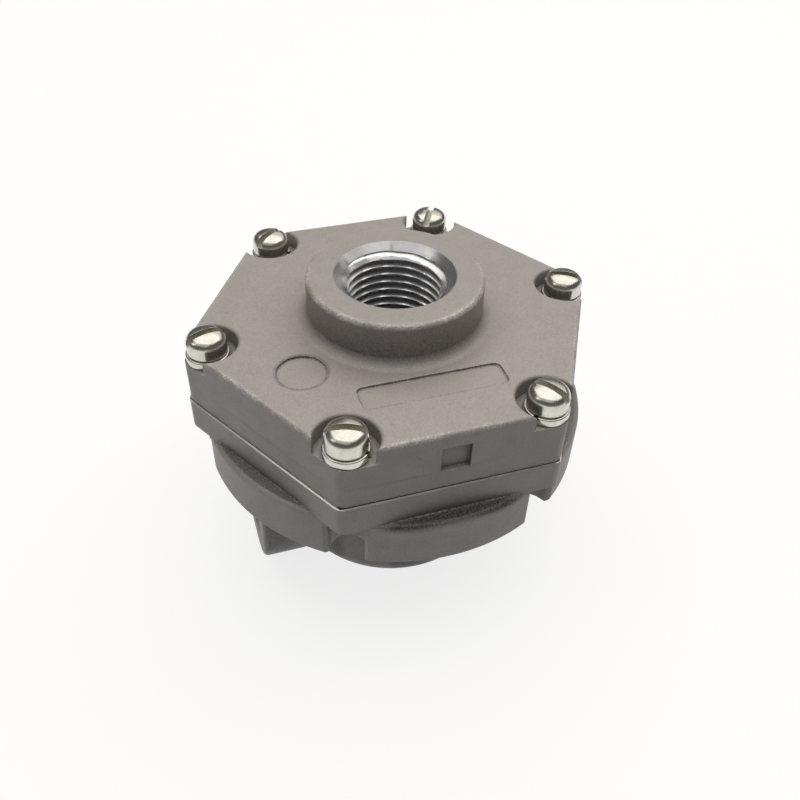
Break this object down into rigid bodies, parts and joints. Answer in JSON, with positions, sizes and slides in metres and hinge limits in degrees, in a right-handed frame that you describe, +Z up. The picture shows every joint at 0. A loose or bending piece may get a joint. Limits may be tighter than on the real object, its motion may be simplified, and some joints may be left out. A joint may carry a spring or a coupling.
{
  "type": "quick exhaust valve",
  "caption": "Cast steel quick exhaust valve: hexagonal screwed cover with a threaded inlet boss, round body with side and bottom ports, and a floating rubber diaphragm inside.",
  "frame": {"origin": "centre of the body's underside, on the valve axis, at the exhaust port's mouth", "axes": "+Z up the valve axis to the inlet port, -X out of the cylinder port, -Y to the flat with the square spot"},
  "size_m": [0.0848, 0.08, 0.066],
  "materials": {
    "cast_steel": "bead-blasted stainless casting, matt warm grey",
    "bright_steel": "polished stainless",
    "rubber": "matt moulded rubber"
  },
  "bodies": {
    "housing": {"body": "cast_steel", "cover": "cast_steel", "cover_seal": "rubber", "cover_screws": "bright_steel", "lock_washers": "bright_steel"},
    "shuttle": {"diaphragm": "rubber"}
  },
  "joints": [
    {"name": "diaphragm_slide", "type": "slide", "parent": "housing", "child": "shuttle", "axis": [0, 0, 1], "range_m": [0, 0.0025]}
  ]
}
